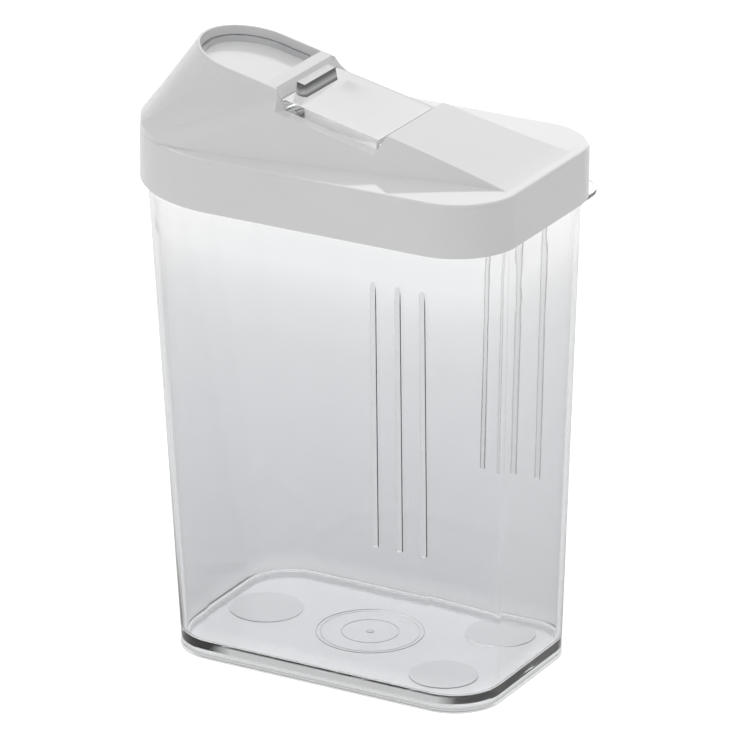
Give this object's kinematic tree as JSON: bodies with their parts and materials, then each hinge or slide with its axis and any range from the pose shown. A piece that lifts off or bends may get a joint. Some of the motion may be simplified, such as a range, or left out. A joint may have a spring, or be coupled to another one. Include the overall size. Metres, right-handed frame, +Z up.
{
  "type": "cereal container with flip spout",
  "caption": "Tall clear cereal container with a light grey lid whose raised spout is closed by a clear see-saw flap with a thumb bar.",
  "frame": {"origin": "middle of the container's underside, on the surface it stands on", "axes": "+Z up, +X towards the low end of the lid, -X towards the spout, +Y away from the camera side"},
  "size_m": [0.1626, 0.1053, 0.2304],
  "materials": {
    "clear_plastic": "gloss",
    "lid_plastic": "satin gloss"
  },
  "bodies": {
    "container": {"container": "clear_plastic"},
    "lid": {"lid": "lid_plastic"},
    "flap": {"flap": "clear_plastic"}
  },
  "joints": [
    {"name": "lid_lift", "type": "slide", "parent": "container", "child": "lid", "axis": [0, 0, 1], "range_m": [0, 0.06]},
    {"name": "flap_hinge", "type": "hinge", "parent": "lid", "child": "flap", "pos_m": [-0.0315, 0, 0.21545], "axis": [0, 1, 0], "range_deg": [0, 32]}
  ]
}
